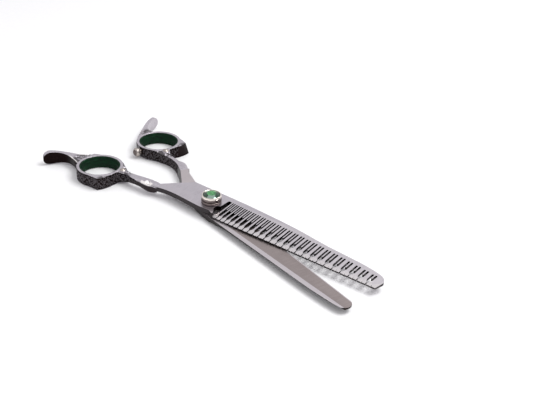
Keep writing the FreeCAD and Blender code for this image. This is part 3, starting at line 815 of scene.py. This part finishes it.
def groove_cutters(edge, heads, face_at):
    """One wedge for each tooth: its valley runs from the tooth's end up to the face."""
    verts, faces = [], []
    for left, right in heads:
        middle, half = (left + right) / 2, (right - left) * 0.24
        n = len(verts)
        outside, above = edge - 0.3, face_at(edge) + 0.1
        verts += [(middle, outside, face_at(edge) - GROOVE_DEPTH), (middle - half, outside, above),
                  (middle + half, outside, above),
                  (middle, edge + TOOTH_GROOVE, face_at(edge + TOOTH_GROOVE) + 0.02)]
        faces += [(n, n + 1, n + 2), (n, n + 3, n + 1), (n, n + 2, n + 3), (n + 1, n + 3, n + 2)]
    mesh = bpy.data.meshes.new("groove_cutters")
    mesh.from_pydata(verts, [], faces)
    work = bmesh.new()
    work.from_mesh(mesh)
    bmesh.ops.recalc_face_normals(work, faces=work.faces)
    work.to_mesh(mesh)
    work.free()
    return mesh


def toothed_wall_shade(c, n, edge):
    """How much painted shade one face of the toothed blade gets, from its centre and normal: full on the
    walls of the gaps, a little less round the outside, less again in the V grooves and not at all on top."""
    in_groove = 0.3 < n.z < 0.97 and c.y < edge + TOOTH_GROOVE and c.x > 8
    if in_groove:
        return 0.75
    if abs(n.z) > 0.3:
        return 0.0
    in_gap = 4.0 < c.x < 92.5 and edge + 0.2 < c.y < 6.1
    return 1.0 if in_gap else 0.93


def toothed_blade():
    """The toothed blade: a V groove in every head and broken edges."""
    work = cad_copy("toothed_blade")
    top = max(v.co.z for v in work.verts)
    edge, heads = tooth_heads(work)
    tips = [v.co for v in work.verts if v.co.y < edge + 0.01 and 20 < v.co.x < 90]
    tip_face = max(c.z for c in tips)
    fall = (top - tip_face) / (FACE_Y - edge)

    def face_at(y):
        return tip_face + fall * (y - edge)

    cut_off(work, (*FINGER.point(FINGER_REACH, 0), 0), (*-FINGER.a, 0))
    cutter = bpy.data.objects.new("cutter", groove_cutters(edge, heads, face_at))
    bpy.context.scene.collection.objects.link(cutter)
    mesh = modified(to_mesh(work, "toothed"), [
        ("BOOLEAN", {"object": cutter, "operation": "DIFFERENCE", "solver": "EXACT"}),
        ("BEVEL", {"width": 0.07, "segments": 2, "limit_method": "ANGLE",
                   "angle_limit": math.radians(28)}),
        ("TRIANGULATE", {}),
    ])
    bpy.data.objects.remove(cutter)
    face_tone, wall_shade = [], []
    for face in mesh.polygons:
        c, n = face.center, face.normal
        # head is a painted highlight on the tooth heads; sloped is a lighter tone on the sloped face
        head = fade(c.y, edge + 3.0, edge + 2.0) if n.z > 0.5 and c.x > 6 else 0.0
        sloped = 0.35 if n.z > 0.5 and n.y < -0.05 and c.x > 7 and c.y < 5.6 else 0.0
        face_tone.append(max(head, sloped))
        # painted shade on the walls
        wall_shade.append(toothed_wall_shade(c, n, edge))
    paint(mesh, "tooth_face", face_tone, "FACE")
    paint(mesh, "gap_wall_shade", wall_shade, "FACE")
    place("toothed_blade_ground", mesh, MATERIALS["toothed_blade"], "toothed_half", ["toothed_blade"])


toothed_blade()


def plain_blade():
    """The plain blade: its inner face is hollow ground between the edge and a flat spine band.

    It is worked with its cutting edge turned along X, and turned back at the end.
    """
    work = cad_copy("plain_blade")
    turn = Matrix.Rotation(math.radians(-EDGE_TURN), 4, "Z")
    bmesh.ops.transform(work, matrix=turn, verts=work.verts)
    face = sorted(v.co.z for v in work.verts if v.co.x > 30)[-1]
    edge = max(v.co.y for v in work.verts if v.co.x > 30)
    border = sorted((v.co.x, v.co.y) for v in work.verts
                    if v.co.x > 8 and v.co.y < 0.5 and v.co.z > face - 0.01)
    spine = [float(np.interp(x, *zip(*border))) for x in SPINE_FIT]
    slope = (spine[1] - spine[0]) / (SPINE_FIT[1] - SPINE_FIT[0])
    land = edge - EDGE_LAND

    def band(x):
        return spine[0] + SPINE_BAND + slope * (x - SPINE_FIT[0])

    for k in range(HOLLOW_STRIPS + 1):
        share = k / HOLLOW_STRIPS
        near, far = (band(x) + (land - band(x)) * share for x in (0.0, 100.0))
        along = Vector((100.0, far - near, 0)).normalized()
        bmesh.ops.bisect_plane(work, geom=work.verts[:] + work.edges[:] + work.faces[:],
                               plane_co=(0, near, 0), plane_no=(-along.y, along.x, 0))
    inward = turn.to_3x3() @ Vector((*-THUMB.a, 0))
    start = turn @ Vector((*THUMB.point(THUMB_REACH, 0), 0))
    cut_off(work, start, inward)
    for x in (HOLLOW_FROM, HOLLOW_FROM + 2, HOLLOW_FROM + 4, HOLLOW_FROM + HOLLOW_RUN):
        bmesh.ops.bisect_plane(work, geom=work.verts[:] + work.edges[:] + work.faces[:],
                               plane_co=(x, 0, 0), plane_no=(1, 0, 0))
    for vert in work.verts:
        x, y, z = vert.co
        if z > face - 0.01 and x > HOLLOW_FROM:
            u = (y - band(x)) / (land - band(x))
            if 0 < u < 1:
                vert.co.z -= HOLLOW_DEPTH * 4 * u * (1 - u) * fade(x, HOLLOW_FROM, HOLLOW_FROM + HOLLOW_RUN)
    for vert in work.verts:
        x, y, z = vert.co
        if z < face - 0.6 and y < band(x) and x > 6:
            vert.co.y += SPINE_UNDERCUT * fade(x, 6.0, 20.0)
    bmesh.ops.triangulate(work, faces=[f for f in work.faces if len(f.verts) > 4])
    mesh = modified(to_mesh(work, "plain"), [
        ("BEVEL", {"width": 0.06, "segments": 2, "limit_method": "ANGLE",
                   "angle_limit": math.radians(25)}),
        ("TRIANGULATE", {}),
    ])
    band_highlight, side_shade = [], []
    for polygon in mesh.polygons:
        c, n = polygon.center, polygon.normal
        # painted highlight: the flats along the spine and the edge, and the steel before the hollow
        on_band = n.z > 0.3 and (c.y < band(c.x) + 0.05 or c.y > land) and c.x > HOLLOW_FROM
        behind_hollow = fade(c.x, 24.0, HOLLOW_FROM) * (1 - 0.45 * fade(c.x, 0.0, -14.0))
        band_highlight.append(1.0 if on_band else behind_hollow)
        # painted shade on every side wall
        side_shade.append(0.95 if n.z < 0.3 else 0.0)
    paint(mesh, "spine_band_highlight", band_highlight, "FACE")
    paint(mesh, "side_wall_shade", side_shade, "FACE")
    mesh.transform(turn.inverted())
    place("plain_blade_ground", mesh, MATERIALS["plain_blade"], "plain_half", ["plain_blade"],
          sharp=12)


plain_blade()


# ---------------------------------------------------------------- pivot and dial
def dial():
    """The tension dial: two turned bands parted by a groove, the lower one finely fluted."""
    low, high = (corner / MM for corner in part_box("tension_dial"))
    foot, top, reach = low.z, high.z, (high.x - low.x) / 2
    rows = [
        (2.06, 6.58, 0), (4.3, 6.58, 0), (4.3, foot, 0), (4.55, foot, 0), (4.74, foot + 0.1, 0),
        (reach, foot + 0.34, 48), (reach, 6.72, 48), (reach - 0.06, 6.9, 0), (reach - 0.22, 7.02, 0),
        (4.6, 7.14, 0), (4.56, 7.3, 0), (4.56, 7.46, 0), (4.6, 7.56, 0), (reach - 0.16, 7.66, 0),
        (reach - 0.03, 7.78, FACETS), (reach, 7.95, FACETS), (reach, 8.3, FACETS), (reach - 0.1, 8.5, FACETS),
        (reach - 0.12, top, 0), (4.32, top, 0), (4.32, 8.46, 0), (2.06, 8.46, 0),
    ]
    mesh = lathe(rows, 192, closed=True)
    height = points_of(mesh)[:, 2]
    # painted shade in the groove between the bands
    paint(mesh, "groove", 0.85 * fade(height, 6.85, 7.1) * fade(height, 7.72, 7.55))
    place("tension_dial_turned", mesh, MATERIALS["dial"], "dial", ["tension_dial"], sharp=35)


def bezel():
    """The polished rim round the stone, with flats on its shoulder."""
    low, high = (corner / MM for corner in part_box("dial_bezel"))
    foot, top = low.z, high.z
    rows = [
        (4.32, foot, 0), (4.74, foot, 0), (4.78, foot + 0.08, FACETS), (4.78, 9.3, FACETS),
        (4.74, 9.44, FACETS), (4.64, 9.62, FACETS), (4.56, top - 0.02, FACETS), (4.46, top, 0),
        (4.32, top, 0), (4.2, top - 0.05, 0), (4.1, 9.58, 0), (4.07, 9.5, 0), (4.26, 9.34, 0), (4.32, 9.2, 0),
    ]
    mesh = lathe(rows, 192, closed=True)
    place("dial_bezel_faceted", mesh, MATERIALS["bezel"], "dial", ["dial_bezel"], sharp=22)


def facet_painted_reflection(face):
    """Painted reflection on one facet, set by its bearing: green at the table and at the back, near black at
    both sides, and a greyed patch at the front."""
    if face.normal.z > 0.98:
        return 0.5
    bearing = math.degrees(math.atan2(face.center.y, face.center.x)) % 360
    if 80 < bearing < 175:
        return 0.62
    if 270 < bearing < 345:
        return 0.95
    return 0.08


def gem():
    """A brilliant-cut stone: table, star, kite and girdle facets, each with its own painted reflection."""
    low, high = (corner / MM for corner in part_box("gem"))
    top = high.z
    rings = [(2.3, top, 8, 0.0), (3.2, top - 0.3, 8, 0.5), (3.94, 9.5, 16, 0.25), (3.98, 9.3, 32, 0.0),
             (3.96, low.z, 32, 0.0)]
    work = bmesh.new()
    for radius, height, count, shift in rings:
        for k in range(count):
            angle = 2 * math.pi * (k + shift) / count
            work.verts.new((radius * math.cos(angle), radius * math.sin(angle), height))
    bmesh.ops.convex_hull(work, input=work.verts)
    bmesh.ops.dissolve_limit(work, angle_limit=math.radians(1), verts=work.verts, edges=work.edges)
    mesh = to_mesh(work, "stone")
    # painted reflection, one tone for each facet
    paint(mesh, "facet_painted_reflection", [facet_painted_reflection(face) for face in mesh.polygons], "FACE")
    place("gem_brilliant_cut", mesh, MATERIALS["glass"], "dial", ["gem"])


dial()
bezel()
gem()


def dress(node, material):
    """Give a CAD node that stays its own material, and break its sharp edges."""
    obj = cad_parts[node]
    for slot in obj.material_slots:
        slot.material = material
    if not obj.material_slots:
        obj.data.materials.append(material)
    weld = obj.modifiers.new("weld", "WELD")
    weld.merge_threshold = 0.002 * MM
    bevel = obj.modifiers.new("bevel", "BEVEL")
    bevel.width = 0.04 * MM
    bevel.segments = 2
    bevel.limit_method = "ANGLE"
    bevel.angle_limit = math.radians(30)


for node, finish in (("pivot_bolt", "bolt"), ("blade_washer", "nylon"), ("dial_washer", "nylon"),
                     ("pivot_bush", "bush"), ("detent_spring", "spring"), ("gem_foil", "foil")):
    dress(node, MATERIALS[finish])


# ---------------------------------------------------------------- stage, light and camera
def studio():
    """A plain pale floor, one large soft light overhead and an even pale surround."""
    mesh = bpy.data.meshes.new("floor")
    half, drop = 4.0, -0.00003
    corners = [(-half, -half, drop), (half, -half, drop), (half, half, drop), (-half, half, drop)]
    mesh.from_pydata(corners, [], [(0, 1, 2, 3)])
    mesh.materials.append(paper_floor())
    floor = bpy.data.objects.new("floor", mesh)
    bpy.context.scene.collection.objects.link(floor)
    lamp = bpy.data.lights.new("softbox", "AREA")
    lamp.shape = "RECTANGLE"
    lamp.size, lamp.size_y = 0.5, 0.35
    lamp.energy = 3.2
    box = bpy.data.objects.new("softbox", lamp)
    box.location = (0.26, 0.2, 0.62)
    box.rotation_euler = (Vector((0, 0, 0)) - box.location).to_track_quat("-Z", "Y").to_euler()
    bpy.context.scene.collection.objects.link(box)
    world = bpy.data.worlds.new("studio")
    bpy.context.scene.world = world
    world.use_nodes = True
    tree = world.node_tree
    tree.nodes.clear()
    where = add_node(tree, "ShaderNodeTexCoord", {})
    parts = add_node(tree, "ShaderNodeSeparateXYZ", {"Vector": where.outputs["Generated"]})
    tone = two_tones(tree, parts.outputs["Z"], "#D4D2D6", "#F4F3F6", 1.0, 0.0, 0.8)
    sky = add_node(tree, "ShaderNodeBackground", {"Strength": 1.0, "Color": tone})
    add_node(tree, "ShaderNodeOutputWorld", {"Surface": sky.outputs["Background"]})
    bpy.context.scene.view_settings.view_transform = "Standard"


def camera():
    """The camera looks down on the shears from the tips' side, at about 30 degrees."""
    data = bpy.data.cameras.new("camera")
    data.sensor_width = 36.0
    data.lens = 60.79
    data.clip_start = 0.01
    cam = bpy.data.objects.new("camera", data)
    right, up, back = (0.8006, 0.5975, 0.0455), (-0.3274, 0.3726, 0.8683), (0.5019, -0.7100, 0.4939)
    turn = Matrix((right, up, back)).transposed().to_4x4()
    cam.matrix_world = Matrix.Translation((0.2331, -0.2850, 0.21676)) @ turn
    bpy.context.scene.collection.objects.link(cam)
    bpy.context.scene.camera = cam


studio()
camera()
